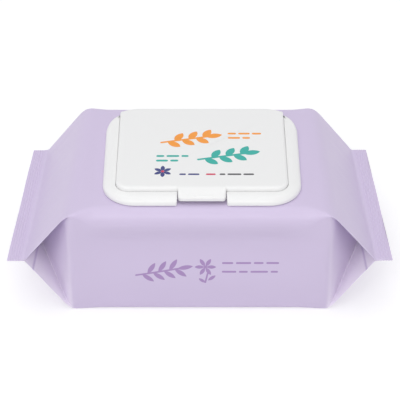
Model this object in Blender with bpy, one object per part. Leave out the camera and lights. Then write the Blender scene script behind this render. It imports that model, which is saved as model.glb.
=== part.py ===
"""A wet wipes pack: a sealed film pack of folded wipes with a hinged plastic cap on its top.

The pack stands on z = 0 with its middle over the origin. X runs along the pack from one end seal
to the other, -Y is the front face, and +Z is up. Every length is in metres.
"""

import math

import bmesh
import bpy
import numpy as np
from mathutils import Matrix, Vector

# The film pack
PACK_DEPTH = 0.120  # front face to back face, and the length of each end seal
PACK_HEIGHT = 0.079
TOP_LENGTH = 0.160  # end edge to end edge of the top face
BASE_LENGTH = 0.1692  # the same at the bottom, where the weight spreads the film
END_RUN = 0.0299  # how far an end slopes out beyond the top face before its seal
FRONT_EDGE_RADIUS = 0.010  # the soft upper edge of the front face
BACK_EDGE_RADIUS = 0.0045
LOWER_EDGE_RADIUS = 0.0028
TOP_END_RADIUS = 0.0055  # where the top turns into the end slopes
BASE_END_RADIUS = 0.0035
CREASE_RADIUS = 0.0035  # the upright edges, where the front and back faces turn into the folds
FLAP_THICKNESS = 0.0016  # the doubled film along the open edge of an end slope
FLAP_START = 0.0176  # the long edges begin to thin to a flap this far inside the top's end edge
FLAP_RUN = 0.0198  # and take this length to do it
FLAP_SLACK = 0.0004  # left open between flaps that lie on each other
WAIST_DEPTH = 0.0017  # how far the front and back draw in under their upper edge
WAIST_HEIGHT = 0.80  # where they draw in most, as a share of the height
WAIST_SPAN = 0.40  # how much of the height the hollow takes

# The end seals
SEAL_WIDTH = 0.0106
SEAL_HEIGHT = 0.0422  # the middle of the seal above the table
SEAL_THICKNESS = 0.0013
SEAL_RIBS = 4
SEAL_PLAIN = 0.0012  # smooth film before the first rib
RIB_HEIGHT = 0.0003  # each way from the seal's middle
SEAL_CLOSE_RUN = 0.0009  # the folds are pressed shut over this length before the seal

# The long back seam, lying in a shallow valley of the bottom
SEAM_HALF_WIDTH = 0.0055
SEAM_STEP = 0.0006  # width of the step at each edge of the seam
VALLEY_HALF_WIDTH = 0.016
VALLEY_DEPTH = 0.0010
SEAM_LIFT = 0.0003  # the seam's own face above the table
SEAM_END = 0.0090  # the valley begins to fade this far before the end seal
SEAM_FADE = 0.0075  # and takes this length to do it

# The cap's base. Its own middle is the origin while it is built, and it widens a little to the rear
GAP = 0.0003  # between pieces that rest on each other
CAP_RIGHT = 0.0013  # where the cap is glued, measured from the middle of the pack
CAP_FORWARD = 0.0026
CAP_FRONT_WIDTH = 0.1238
CAP_REAR_WIDTH = 0.1284
CAP_DEPTH = 0.0990
CAP_FRONT_RADIUS = 0.021
CAP_REAR_RADIUS = 0.022
WALL = 0.0012
RIM_FOOT = 0.0010  # upright edge of the rim where it meets the film
RIM_HEIGHT = 0.0050
RIM_DOME = 0.0060  # how far the rim's rounded shoulder runs inwards
REAR_DOME_SHARE = 0.12  # share of that run left along the hinge side
REAR_BLEND_START = 0.0352  # the shoulder begins to narrow this far before the rear edge
REAR_BLEND_RUN = 0.0286  # and takes this length to do it
RECESS_FRONT_WIDTH = 0.1068  # the well that the cover shuts into
RECESS_REAR_WIDTH = 0.1116
RECESS_FRONT_MARGIN = 0.0081  # from the cap's front edge to the well
RECESS_RADIUS = 0.0085
APERTURE_WIDTH = 0.078  # the opening that the wipes come out of
APERTURE_DEPTH = 0.046
APERTURE_RADIUS = 0.019
COLLAR_HEIGHT = 0.0030  # above the floor of the well
NOTCH_WIDTH = 0.0305  # finger notch in the front of the rim
NOTCH_RADIUS = 0.0015
NOTCH_WALL_DROP = 0.0008  # the well's wall is this much lower under the tab

# The cover
COVER_CLEARANCE = 0.0005
COVER_RISE = 0.0029  # its top above the rim
COVER_SHOULDER = 0.0022  # run of its rounded upper edge
COVER_BAND = 0.0003  # upright edge below that
COVER_LIFT = 0.0004  # its overhang clears the rear wall by this
SKIRT_DEPTH = 0.0029  # how far the skirt reaches down into the well
ROOF = 0.0013
PLUG_CLEARANCE = 0.0007  # between the sealing ring and the collar
PLUG_WALL = 0.0010
PLUG_DEPTH = 0.0026  # how far the sealing ring reaches below the rim's top
TAB_WIDTH = 0.0292
TAB_REACH = 0.0076  # from the cover's shoulder to the tab's front
TAB_DROP = 0.0031  # how far the tab's top falls on the way
TAB_LIP = 0.0058  # lip's lower edge below the cover's top
TAB_RADIUS = 0.0022
TAB_EDGE = 0.0006  # bevel along the tab's front edge
TAB_SINK = 0.00005  # the tab joins the cover this far below its top
GRIP_LENGTH = 0.0185
GRIP_RADIUS = 0.0006
GRIP_SETBACK = 0.0016  # from the tab's front

# The hinge: a thin moulded strap behind the rear wall
HINGE_SETBACK = 0.0004  # the axis lies this far behind the rear wall
HINGE_WIDTH = 0.064
STRAP_THICKNESS = 0.0005
STRAP_SETBACK = 0.0008  # from the axis up or down to the middle of each half of the strap
STRAP_REACH = 0.00025  # behind the rear wall

# The peel seal over the cut in the film
PEEL_WIDTH = 0.066
PEEL_DEPTH = 0.038
PEEL_RADIUS = 0.017
PEEL_THICKNESS = 0.0003
PULL_LENGTH = 0.0045
PULL_WIDTH = 0.012
PULL_RADIUS = 0.004

# Levels and places that follow from the sizes
TOP_EDGE = TOP_LENGTH / 2
BASE_EDGE = BASE_LENGTH / 2
SEAL_START = TOP_EDGE + END_RUN
PACK_END = SEAL_START + SEAL_WIDTH
HALF_DEPTH = PACK_DEPTH / 2
SEAT = PACK_HEIGHT + GAP
FLOOR_TOP = SEAT + WALL
RIM_TOP = SEAT + RIM_HEIGHT
COVER_TOP = RIM_TOP + COVER_RISE
CAP_FRONT = -CAP_DEPTH / 2
CAP_REAR = CAP_DEPTH / 2
RECESS_FRONT = CAP_FRONT + RECESS_FRONT_MARGIN
CAP_CORNER_X = CAP_REAR_WIDTH / 2 - CAP_REAR_RADIUS
CAP_CORNER_Y = CAP_REAR - CAP_REAR_RADIUS
HINGE_Y = CAP_REAR + HINGE_SETBACK
HINGE_Z = RIM_TOP + COVER_LIFT / 2
TABLE = 0.0
CUT_MARGIN = 0.002  # how far cutters run past what they cut
CAP_PLACE = (CAP_RIGHT, -CAP_FORWARD, 0.0)
HINGE_PLACE = (0.0, HINGE_Y, HINGE_Z)

# How finely curves are drawn, and where the film pack's sections and points are taken
ARC_STEPS = 8
SMALL_ARC_STEPS = 4
GRIP_STEPS = 11
BEND_STEPS = 240
SHOULDER_ANGLES = np.radians([18, 36, 54, 72, 90])
HOLLOW_ANGLES = np.radians([30, 60, 90])
TOP_SHARES = np.array([0.0, 0.45, 0.80])
FACE_SHARES = np.array([0.10, 0.22, 0.36, 0.52, 0.72, 0.90])
BOTTOM_SHARE = 0.72
BODY_SHARES = np.array([1.0, 0.62, 0.40, 0.27, 0.19, 0.12, 0.06])
TOP_EDGE_SHARES = np.array([-1.0, -0.6, -0.3, 0.0, 0.2, 0.4])
BASE_EDGE_SHARES = np.array([-0.4, 0.0, 0.4, 0.9])
SLOPE_SHARES = np.array([0.16, 0.34, 0.52, 0.70, 0.86])
CLOSING_SHARES = np.array([-1.6, -1.0, -0.65, -0.35, 0.0])
MERGE = 1e-7

FILM = ("lavender_film", (0.62, 0.53, 0.76, 1.0), 0.42)
CAP = ("white_cap_plastic", (0.92, 0.92, 0.91, 1.0), 0.30)
PEEL = ("peel_seal_film", (0.80, 0.78, 0.86, 1.0), 0.35)


# Scene and helpers


def clear_scene():
    for obj in list(bpy.data.objects):
        bpy.data.objects.remove(obj, do_unlink=True)


def new_collection(name):
    collection = bpy.data.collections.new(name)
    bpy.context.scene.collection.children.link(collection)
    return collection


def material(name, colour, roughness):
    made = bpy.data.materials.new(name)
    made.use_nodes = True
    shader = made.node_tree.nodes["Principled BSDF"]
    shader.inputs["Base Color"].default_value = colour
    shader.inputs["Roughness"].default_value = roughness
    shader.inputs["Metallic"].default_value = 0.0
    made.diffuse_color = colour
    return made


def mesh_object(name, verts, faces, collection):
    """A mesh object with its doubles merged and its faces pointing outwards."""
    mesh = bpy.data.meshes.new(name)
    mesh.from_pydata([tuple(v) for v in verts], [], faces)
    shape = bmesh.new()
    shape.from_mesh(mesh)
    bmesh.ops.remove_doubles(shape, verts=shape.verts, dist=MERGE)
    bmesh.ops.recalc_face_normals(shape, faces=shape.faces)
    shape.to_mesh(mesh)
    shape.free()
    obj = bpy.data.objects.new(name, mesh)
    collection.objects.link(obj)
    return obj


def as_helper(obj):
    """Cutters and joined pieces aren't parts, so they show as wire and don't render."""
    obj.hide_render = True
    obj.display_type = "WIRE"
    return obj


def boolean(target, other, operation):
    modifier = target.modifiers.new(f"{operation.lower()}_{other.name}", "BOOLEAN")
    modifier.operation = operation
    modifier.solver = "EXACT"
    modifier.object = as_helper(other)


def slab(name, outlines, bottom, top, collection):
    """A flat piece between two heights. A second outline inside the first leaves a hole."""
    curve = bpy.data.curves.new(name, "CURVE")
    curve.dimensions = "2D"
    curve.fill_mode = "BOTH"
    curve.extrude = (top - bottom) / 2
    for outline in outlines:
        spline = curve.splines.new("POLY")
        spline.points.add(len(outline) - 1)
        for point, (x, y) in zip(spline.points, outline):
            point.co = (x, y, 0, 1)
        spline.use_cyclic_u = True
    guide = bpy.data.objects.new(name, curve)
    guide.location.z = (top + bottom) / 2
    return curve_to_mesh(guide, collection)


def curve_to_mesh(guide, collection):
    """Turns a curve object into a closed mesh object in the same place, and removes the curve."""
    bpy.context.scene.collection.objects.link(guide)
    bpy.context.view_layer.update()
    graph = bpy.context.evaluated_depsgraph_get()
    mesh = bpy.data.meshes.new_from_object(guide.evaluated_get(graph))
    shape = bmesh.new()
    shape.from_mesh(mesh)
    bmesh.ops.remove_doubles(shape, verts=shape.verts, dist=MERGE)
    bmesh.ops.recalc_face_normals(shape, faces=shape.faces)
    shape.to_mesh(mesh)
    shape.free()
    name = guide.name
    place = guide.matrix_world.copy()
    bpy.data.objects.remove(guide, do_unlink=True)
    obj = bpy.data.objects.new(name, mesh)
    obj.matrix_world = place
    collection.objects.link(obj)
    return obj


def loft(name, rings, collection):
    """A closed solid through rings that have the same number of points, capped at both ends."""
    rings = np.asarray(rings)
    count, size = rings.shape[:2]
    verts = rings.reshape(-1, 3)
    faces = [
        (i * size + j, i * size + (j + 1) % size, (i + 1) * size + (j + 1) % size, (i + 1) * size + j)
        for i in range(count - 1)
        for j in range(size)
    ]
    faces.append(tuple(range(size)))
    faces.append(tuple(range((count - 1) * size, count * size)))
    return mesh_object(name, verts, faces, collection)


# Flat outlines, as lists of (x, y) running anticlockwise


def arc(centre_x, centre_y, radius, start, end, steps=ARC_STEPS):
    angles = np.radians(np.linspace(start, end, steps + 1))
    return [(centre_x + radius * math.cos(a), centre_y + radius * math.sin(a)) for a in angles]


def front_corners(half_width, front, radius):
    left = arc(-half_width + radius, front + radius, radius, 180, 270)
    return left + arc(half_width - radius, front + radius, radius, 270, 360)


def rear_corners(corner_x, corner_y, radius, start=0.0):
    right = arc(corner_x, corner_y, radius, start, 90)
    return right + arc(-corner_x, corner_y, radius, 90, 180 - start)


def rounded_plan(half_width, half_depth, radius):
    """A rectangle about the origin with rounded corners."""
    corner_x = half_width - radius
    corner_y = half_depth - radius
    return front_corners(half_width, -half_depth, radius) + rear_corners(corner_x, corner_y, radius)


def inset(outline, distance):
    """The outline moved inwards by a distance, or by one distance for each point."""
    points = np.array(outline)
    along = np.roll(points, -1, axis=0) - np.roll(points, 1, axis=0)
    along /= np.linalg.norm(along, axis=1)[:, None]
    inwards = np.stack([-along[:, 1], along[:, 0]], axis=1)
    return points + inwards * np.broadcast_to(distance, len(points))[:, None]


def ring_at(outline, height):
    points = np.array(outline)
    return np.column_stack([points, np.full(len(points), height)])


# The film pack


def smooth(share):
    share = np.clip(share, 0.0, 1.0)
    return share * share * (3 - 2 * share)


def soft_ramp(x, start, radius):
    """0 before start and x - start after it, with the corner rounded over radius on each side."""
    share = np.clip((x - start + radius) / (2 * radius), 0.0, 1.0)
    return radius * share * share + max(x - start - radius, 0.0)


def slope_share(x, edge, radius):
    """How far x is along an end slope that begins at edge, from 0 there to 1 at the seal."""
    run = soft_ramp(x, edge, radius) - soft_ramp(x, SEAL_START, SEAL_THICKNESS)
    return run / (SEAL_START - edge)


def top_height(x):
    fall = PACK_HEIGHT - SEAL_HEIGHT - SEAL_THICKNESS / 2
    return PACK_HEIGHT - fall * slope_share(x, TOP_EDGE, TOP_END_RADIUS)


def bottom_height(x):
    rise = SEAL_HEIGHT - SEAL_THICKNESS / 2
    return TABLE + rise * slope_share(x, BASE_EDGE, BASE_END_RADIUS)


def fold_depth(x, edge):
    """How far the side panel is tucked in behind the slopes: half the pack's height at the seal."""
    tucked = soft_ramp(x, edge, CREASE_RADIUS) / (SEAL_START - edge)
    pressed_shut = smooth((x - SEAL_START + SEAL_CLOSE_RUN) / SEAL_CLOSE_RUN)
    return PACK_HEIGHT / 2 * tucked * (1 - pressed_shut)


def bend_radius(x, along_body, opening):
    """Radius of a bend in the film: its own along the body, and as thin as a flap at the folds."""
    into_fold = smooth((x - TOP_EDGE + FLAP_START) / FLAP_RUN)
    radius = along_body + (FLAP_THICKNESS - along_body) * into_fold
    return min(radius, (opening - FLAP_SLACK) / 4)


def folded_corner(tuck, radius):
    """The film round one corner, as distances outwards along the panel and down from it.

    It turns half a turn back under the panel, runs in by the tuck, and turns a quarter turn down.
    With no tuck the two bends fall on each other and leave a plain rounded corner.
    """
    spread = math.pi / 2 * radius
    length = spread + tuck
    walked = np.linspace(0.0, length, BEND_STEPS)
    heading = math.pi * np.clip(walked / spread, 0, 1)
    heading -= math.pi / 2 * np.clip((walked - tuck) / spread, 0, 1)
    step = np.diff(walked)
    middle = (heading[1:] + heading[:-1]) / 2
    out = np.concatenate([[0.0], np.cumsum(np.cos(middle) * step)])
    down = np.concatenate([[0.0], np.cumsum(np.sin(middle) * step)])
    part = min(spread, length / 2)
    first = part * np.array([0.0, 0.25, 0.5, 0.75, 1.0])
    second = length - part * np.array([0.9, 0.6, 0.3, 0.0])
    chosen = np.concatenate([first, second])
    return np.interp(chosen, walked, out), np.interp(chosen, walked, down), out.max()


def waist(height, x):
    """How far the front and back draw in at a height, fading out towards the ends."""
    share = (height / PACK_HEIGHT - WAIST_HEIGHT) / WAIST_SPAN + 0.5
    hollow = np.sin(math.pi * np.clip(share, 0, 1)) ** 2
    return WAIST_DEPTH * hollow * (1 - smooth((x - TOP_EDGE + END_RUN) / END_RUN))


def seam_relief(y, x):
    """Lift of the bottom film over the back seam and its valley, fading out before the seal."""
    away = np.abs(y)
    valley = VALLEY_DEPTH * (1 - smooth((away - SEAM_HALF_WIDTH) / (VALLEY_HALF_WIDTH - SEAM_HALF_WIDTH)))
    lift = np.where(away <= SEAM_HALF_WIDTH + MERGE, SEAM_LIFT, valley)
    return lift * (1 - smooth((x - SEAL_START + SEAM_END) / SEAM_FADE))


def half_section(x, rib, upper_radius):
    """The front half of the section at x, from the middle of the top to the middle of the bottom."""
    top = top_height(x) + rib
    bottom = bottom_height(x) + rib
    opening = top - bottom
    bend = bend_radius(x, upper_radius, opening)
    out, down, reach = folded_corner(fold_depth(x, TOP_EDGE), bend)
    upper = np.column_stack([-HALF_DEPTH + reach - out, top - down])
    bend = bend_radius(x, LOWER_EDGE_RADIUS, opening)
    out, down, reach = folded_corner(fold_depth(x, BASE_EDGE), bend)
    lower = np.column_stack([-HALF_DEPTH + reach - out, bottom + down])[::-1]

    top_run = np.column_stack([TOP_SHARES * upper[0, 0], np.full(len(TOP_SHARES), top)])
    face = upper[-1] + FACE_SHARES[:, None] * (lower[0] - upper[-1])
    seam = [-VALLEY_HALF_WIDTH, -SEAM_HALF_WIDTH - SEAM_STEP, -SEAM_HALF_WIDTH, 0.0]
    across = np.array([BOTTOM_SHARE * lower[-1, 0], *seam])
    bottom_run = np.column_stack([across, np.full(len(across), bottom)])

    section = np.vstack([top_run, upper, face, lower, bottom_run])
    sides = slice(len(top_run), len(section) - len(bottom_run))
    section[sides, 0] += waist(section[sides, 1], x)
    section[-len(bottom_run):, 1] += seam_relief(bottom_run[:, 0], x)
    return section


def pack_stations():
    """Places along half the pack where a section is taken, each with its rib height."""
    body_end = TOP_EDGE - TOP_END_RADIUS
    body = body_end * (1 - BODY_SHARES)
    shoulder = TOP_EDGE + TOP_END_RADIUS * TOP_EDGE_SHARES
    lower_shoulder = BASE_EDGE + BASE_END_RADIUS * BASE_EDGE_SHARES
    slope_start = lower_shoulder[-1]
    slope = slope_start + SLOPE_SHARES * (SEAL_START - slope_start)
    closing = SEAL_START + SEAL_CLOSE_RUN * CLOSING_SHARES
    plain = [(x, 0.0) for x in np.concatenate([body, shoulder, lower_shoulder, slope, closing])]
    pitch = (SEAL_WIDTH - SEAL_PLAIN) / SEAL_RIBS
    ribs = [(SEAL_START + SEAL_PLAIN, 0.0)]
    for i in range(SEAL_RIBS):
        start = SEAL_START + SEAL_PLAIN + i * pitch
        ribs.append((start + 0.25 * pitch, RIB_HEIGHT))
        ribs.append((start + 0.75 * pitch, -RIB_HEIGHT))
    ribs.append((PACK_END, 0.0))
    return plain + ribs


def build_film_pack(parts):
    half = []
    for x, rib in pack_stations():
        front = half_section(x, rib, FRONT_EDGE_RADIUS)
        back = half_section(x, rib, BACK_EDGE_RADIUS)[-2:0:-1] * (-1, 1)
        loop = np.vstack([front, back])
        half.append(np.column_stack([np.full(len(loop), x), loop]))
    half = np.array(half)
    mirrored = half[:0:-1] * (-1, 1, 1)
    pack = loft("film_pack", np.concatenate([mirrored, half]), parts)
    pack.data.shade_smooth()
    pack.data.set_sharp_from_angle(angle=math.radians(40))
    pack.data.materials.append(material(*FILM))
    return pack


# The cap's base


def cap_plan():
    front = front_corners(CAP_FRONT_WIDTH / 2, CAP_FRONT, CAP_FRONT_RADIUS)
    return front + rear_corners(CAP_CORNER_X, CAP_CORNER_Y, CAP_REAR_RADIUS)


def shut_plan(grow, wall):
    """The well's outline, grown on its front and sides, with rear corners that follow the cap's."""
    front = front_corners(RECESS_FRONT_WIDTH / 2 + grow, RECESS_FRONT - grow, RECESS_RADIUS + grow)
    radius = CAP_REAR_RADIUS - wall
    meet = math.acos((RECESS_REAR_WIDTH / 2 + grow - CAP_CORNER_X) / radius)
    return front + rear_corners(CAP_CORNER_X, CAP_CORNER_Y, radius, math.degrees(meet))


def recess_plan(grow):
    """The well's outline, grown outwards by an amount on every side."""
    return shut_plan(grow, WALL - grow)


def aperture_plan(grow):
    return rounded_plan(APERTURE_WIDTH / 2 + grow, APERTURE_DEPTH / 2 + grow, APERTURE_RADIUS + grow)


def dome_share(outline):
    """1 along the front and sides, falling to REAR_DOME_SHARE along the hinge side."""
    y = np.array(outline)[:, 1]
    rear = smooth((y - CAP_REAR + REAR_BLEND_START) / REAR_BLEND_RUN)
    return 1 - (1 - REAR_DOME_SHARE) * rear


def domed_block(name, shrink, bottom, top, helpers):
    """A block with the cap's outline and a rounded shoulder, shrunk on its sides by an amount."""
    outline = inset(cap_plan(), shrink)
    share = dome_share(outline)
    foot = SEAT + RIM_FOOT
    rings = [ring_at(outline, bottom), ring_at(outline, foot)]
    for angle in SHOULDER_ANGLES:
        run = (RIM_DOME - shrink) * (1 - math.cos(angle))
        rings.append(ring_at(inset(outline, run * share), foot + (top - foot) * math.sin(angle)))
    return loft(name, rings, helpers)


def notch_plan(half_width):
    """The finger notch, with rounded corners where it opens at the cap's front edge."""
    outside = half_width + NOTCH_RADIUS
    right = arc(outside, CAP_FRONT + NOTCH_RADIUS, NOTCH_RADIUS, 270, 180, SMALL_ARC_STEPS)
    right.append((half_width, RECESS_FRONT - WALL))
    left = [(-x, y) for x, y in right[::-1]] + [(-outside, CAP_FRONT - CUT_MARGIN)]
    return [*left, (outside, CAP_FRONT - CUT_MARGIN), *right]


def box_plan(half_width, front, rear):
    return [(-half_width, front), (half_width, front), (half_width, rear), (-half_width, rear)]


def build_cap_base(parts, helpers):
    base = domed_block("cap_base", 0.0, SEAT, RIM_TOP, parts)

    low = SEAT - CUT_MARGIN
    high = RIM_TOP + CUT_MARGIN
    under = domed_block("rim_hollow", WALL, low, RIM_TOP - WALL, helpers)
    kept_wall = slab("kept_well_wall", [recess_plan(WALL)], low - CUT_MARGIN, high, helpers)
    boolean(under, kept_wall, "DIFFERENCE")
    beside_notch = box_plan(NOTCH_WIDTH / 2 + WALL, CAP_FRONT - CUT_MARGIN, 0.0)
    kept_sides = slab("kept_notch_sides", [beside_notch], low - 2 * CUT_MARGIN, high + CUT_MARGIN, helpers)
    boolean(under, kept_sides, "DIFFERENCE")
    boolean(base, under, "DIFFERENCE")

    boolean(base, slab("cap_well", [recess_plan(0.0)], FLOOR_TOP, high, helpers), "DIFFERENCE")
    boolean(base, slab("finger_notch", [notch_plan(NOTCH_WIDTH / 2)], low, high, helpers), "DIFFERENCE")
    under_tab = box_plan(NOTCH_WIDTH / 2, RECESS_FRONT - 2 * WALL, RECESS_FRONT + WALL)
    boolean(base, slab("tab_relief", [under_tab], RIM_TOP - NOTCH_WALL_DROP, high, helpers), "DIFFERENCE")

    collar_top = FLOOR_TOP + COLLAR_HEIGHT
    collar = slab("aperture_collar", [aperture_plan(WALL)], SEAT + WALL / 2, collar_top, helpers)
    boolean(base, collar, "UNION")
    boolean(base, slab("aperture", [aperture_plan(0.0)], low, high, helpers), "DIFFERENCE")

    strap = hinge_strap("base_strap", HINGE_Z - STRAP_SETBACK, helpers)
    boolean(base, strap, "UNION")
    base.data.materials.append(material(*CAP))
    return base


def hinge_strap(name, middle, helpers):
    """Half of the thin strap, a strip along the rear wall that ends just short of the axis."""
    plan = box_plan(HINGE_WIDTH / 2, CAP_REAR - WALL / 2, CAP_REAR + STRAP_REACH)
    half = STRAP_THICKNESS / 2
    return slab(name, [plan], middle - half, middle + half, helpers)


# The cover


def build_cap_cover(parts, helpers):
    outline = shut_plan(-COVER_CLEARANCE, 0.0)
    under = RIM_TOP + COVER_LIFT
    shoulder = under + COVER_BAND
    rings = [ring_at(outline, under), ring_at(outline, shoulder)]
    for angle in SHOULDER_ANGLES:
        run = COVER_SHOULDER * (1 - math.cos(angle))
        rise = (COVER_TOP - shoulder) * math.sin(angle)
        rings.append(ring_at(inset(outline, run), shoulder + rise))
    cover = loft("cap_cover", rings, parts)

    foot = RIM_TOP - SKIRT_DEPTH
    skirt = slab("cover_skirt", [recess_plan(-COVER_CLEARANCE)], foot, under + WALL / 2, helpers)
    boolean(cover, skirt, "UNION")

    inner = recess_plan(-COVER_CLEARANCE - WALL)
    roof = COVER_TOP - ROOF
    rings = [ring_at(inner, foot - CUT_MARGIN), ring_at(inner, roof - WALL)]
    for angle in HOLLOW_ANGLES:
        run = WALL * (1 - math.cos(angle))
        rings.append(ring_at(inset(inner, run), roof - WALL + WALL * math.sin(angle)))
    boolean(cover, loft("cover_hollow", rings, helpers), "DIFFERENCE")

    ring = [aperture_plan(-PLUG_CLEARANCE), aperture_plan(-PLUG_CLEARANCE - PLUG_WALL)]
    plug = slab("sealing_ring", ring, RIM_TOP - PLUG_DEPTH, roof + ROOF / 2, helpers)
    boolean(cover, plug, "UNION")
    boolean(cover, build_tab(helpers), "UNION")
    strap = hinge_strap("cover_strap", HINGE_Z + STRAP_SETBACK, helpers)
    boolean(cover, strap, "UNION")
    cover.data.materials.append(material(*CAP))
    cover.data.transform(Matrix.Translation(HINGE_PLACE).inverted())
    cover.location = HINGE_PLACE
    return cover


def build_tab(helpers):
    """The lifting tab: a ramp off the cover's top edge, ending in a lip that turns down."""
    start = RECESS_FRONT + COVER_CLEARANCE + COVER_SHOULDER / 2
    front = start - TAB_REACH
    slope = TAB_DROP / TAB_REACH
    lip_bottom = COVER_TOP - TAB_LIP
    profile = [
        (start + WALL, COVER_TOP - TAB_SINK),
        (start, COVER_TOP - TAB_SINK),
        (front + TAB_EDGE, COVER_TOP - TAB_DROP + TAB_EDGE * slope),
        (front, COVER_TOP - TAB_DROP - TAB_EDGE),
        (front, lip_bottom),
        (front + WALL, lip_bottom),
        (front + WALL, COVER_TOP - TAB_DROP - ROOF),
        (start, COVER_TOP - ROOF),
        (start + WALL, COVER_TOP - ROOF),
    ]
    tab = slab("lifting_tab", [profile], -TAB_WIDTH / 2, TAB_WIDTH / 2, helpers)
    stand_up(tab)
    plan = front_corners(TAB_WIDTH / 2, front, TAB_RADIUS) + [(TAB_WIDTH / 2, 0.0), (-TAB_WIDTH / 2, 0.0)]
    trim = slab("tab_plan", [plan], lip_bottom - CUT_MARGIN, COVER_TOP + CUT_MARGIN, helpers)
    boolean(tab, trim, "INTERSECT")

    grip_y = front + GRIP_SETBACK
    grip_z = COVER_TOP - TAB_DROP + slope * GRIP_SETBACK
    section = arc(grip_y, grip_z, GRIP_RADIUS, 0, 330, GRIP_STEPS)
    grip = slab("grip_ridge", [section], -GRIP_LENGTH / 2, GRIP_LENGTH / 2, helpers)
    stand_up(grip)
    boolean(tab, grip, "UNION")
    return tab


def stand_up(obj):
    """Turns a slab drawn in (y, z) upright, so that its thickness runs along x."""
    swap = Matrix(((0, 0, 1, 0), (1, 0, 0, 0), (0, 1, 0, 0), (0, 0, 0, 1)))
    obj.data.transform(swap @ obj.matrix_world)
    obj.location = (0, 0, 0)


# The peel seal


def build_peel_seal(parts, helpers):
    bottom = PACK_HEIGHT + GAP
    top = bottom + PEEL_THICKNESS
    plan = rounded_plan(PEEL_WIDTH / 2, PEEL_DEPTH / 2, PEEL_RADIUS)
    seal = slab("peel_seal", [plan], bottom, top, parts)
    reach = (PEEL_WIDTH / 2 + PULL_LENGTH) / 2
    tongue = rounded_plan(reach, PULL_WIDTH / 2, PULL_RADIUS)
    tongue = [(x + reach, y) for x, y in tongue]
    boolean(seal, slab("pull_tongue", [tongue], bottom, top, helpers), "UNION")
    seal.data.materials.append(material(*PEEL))
    return seal


def main():
    clear_scene()
    parts = new_collection("wet_wipes_pack")
    helpers = new_collection("cutters_and_joined_shapes")
    pack = build_film_pack(parts)
    build_peel_seal(parts, helpers)
    build_cap_base(parts, helpers)
    build_cap_cover(parts, helpers)
    for obj in bpy.data.objects:
        if obj != pack:
            obj.location = obj.location + Vector(CAP_PLACE)


main()
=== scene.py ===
"""The looks of a wet wipes pack: lavender film, a white hinged cap, a peel seal and a plain studio.

Lengths are in metres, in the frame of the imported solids: X along the pack, -Y the front, +Z up.
"""

import math

import bmesh
import bpy
import numpy as np
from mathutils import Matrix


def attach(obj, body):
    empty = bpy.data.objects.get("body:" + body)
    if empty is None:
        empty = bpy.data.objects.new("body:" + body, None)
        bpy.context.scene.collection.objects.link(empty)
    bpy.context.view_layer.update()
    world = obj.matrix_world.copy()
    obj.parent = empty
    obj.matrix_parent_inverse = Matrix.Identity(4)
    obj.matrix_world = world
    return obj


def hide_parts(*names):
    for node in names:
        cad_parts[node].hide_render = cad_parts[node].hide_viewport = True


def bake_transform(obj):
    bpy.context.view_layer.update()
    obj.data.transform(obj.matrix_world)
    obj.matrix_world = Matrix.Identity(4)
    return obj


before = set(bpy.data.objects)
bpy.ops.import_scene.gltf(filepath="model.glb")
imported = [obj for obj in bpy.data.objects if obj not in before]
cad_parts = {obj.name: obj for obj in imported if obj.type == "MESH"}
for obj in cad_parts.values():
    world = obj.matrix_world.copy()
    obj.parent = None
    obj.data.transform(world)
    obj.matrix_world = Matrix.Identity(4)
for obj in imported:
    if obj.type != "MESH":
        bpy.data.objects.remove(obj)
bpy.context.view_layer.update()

# The film pack, as the solids have it, but with flaps as thin as film
HALF_DEPTH = 0.060
PACK_HEIGHT = 0.079
TOP_EDGE = 0.080
BASE_EDGE = 0.0846
SEAL_START = 0.1099
PACK_END = 0.1205
FRONT_EDGE_RADIUS = 0.010
BACK_EDGE_RADIUS = 0.0045
LOWER_EDGE_RADIUS = 0.0028
TOP_END_RADIUS = 0.0055
BASE_END_RADIUS = 0.0035
CREASE_RADIUS = 0.0035
FLAP_THICKNESS = 0.0008
FLAP_START = 0.0176
FLAP_RUN = 0.0198
FLAP_SLACK = 0.0003
WAIST_DEPTH = 0.0034
WAIST_HEIGHT = 0.0545
WAIST_ABOVE = 0.0150
WAIST_BELOW = 0.036
SEAL_HEIGHT = 0.0422
SEAL_THICKNESS = 0.0010
SEAL_CLOSE_RUN = 0.0009
RIB_START = 0.0022
RIB_PITCH = 0.00165
RIB_HEIGHT = 0.00016
SEAM_HALF_WIDTH = 0.0055
SEAM_STEP = 0.0006
VALLEY_HALF_WIDTH = 0.016
VALLEY_DEPTH = 0.0010
SEAM_LIFT = 0.0003
SEAM_END = 0.0090
SEAM_FADE = 0.0075
BEND_STEPS = 400
# painted highlight: how strongly, and over how wide a band, the film is coloured lighter along the front
# face's end lines
EDGE_SHINE = 0.55
EDGE_SHINE_WIDTH = 0.0013

# The cap, about its own middle
CAP_PLACE = np.array([0.0013, -0.0026])
SEAT = 0.0793
WALL = 0.0012
FLOOR_TOP = 0.0805
RIM_TOP = 0.0843
COVER_TOP = 0.0872
CAP_FRONT = -0.0495
CAP_REAR = 0.0495
CAP_FRONT_WIDTH = 0.1238
CAP_REAR_WIDTH = 0.1284
CAP_FRONT_RADIUS = 0.021
CAP_REAR_RADIUS = 0.022
RIM_FOOT = 0.0010
RIM_DOME = 0.0060
REAR_DOME_SHARE = 0.12
REAR_BLEND_START = 0.0352
REAR_BLEND_RUN = 0.0286
RECESS_FRONT_WIDTH = 0.1068
RECESS_REAR_WIDTH = 0.1116
RECESS_FRONT = -0.0414
RECESS_RADIUS = 0.0085
APERTURE_WIDTH = 0.078
APERTURE_DEPTH = 0.046
APERTURE_RADIUS = 0.019
COLLAR_HEIGHT = 0.0030
NOTCH_HALF_WIDTH = 0.01525
NOTCH_RADIUS = 0.0015
NOTCH_WALL_DROP = 0.0008
SMALL_EDGE = 0.00035
COVER_CLEARANCE = 0.0002
COVER_SHOULDER = 0.0022
COVER_BAND = 0.0003
COVER_LIFT = 0.0004
COVER_CROWN = 0.00012
SKIRT_DEPTH = 0.0029
ROOF = 0.0013
PLUG_CLEARANCE = 0.0007
PLUG_WALL = 0.0010
PLUG_DEPTH = 0.0026
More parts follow.
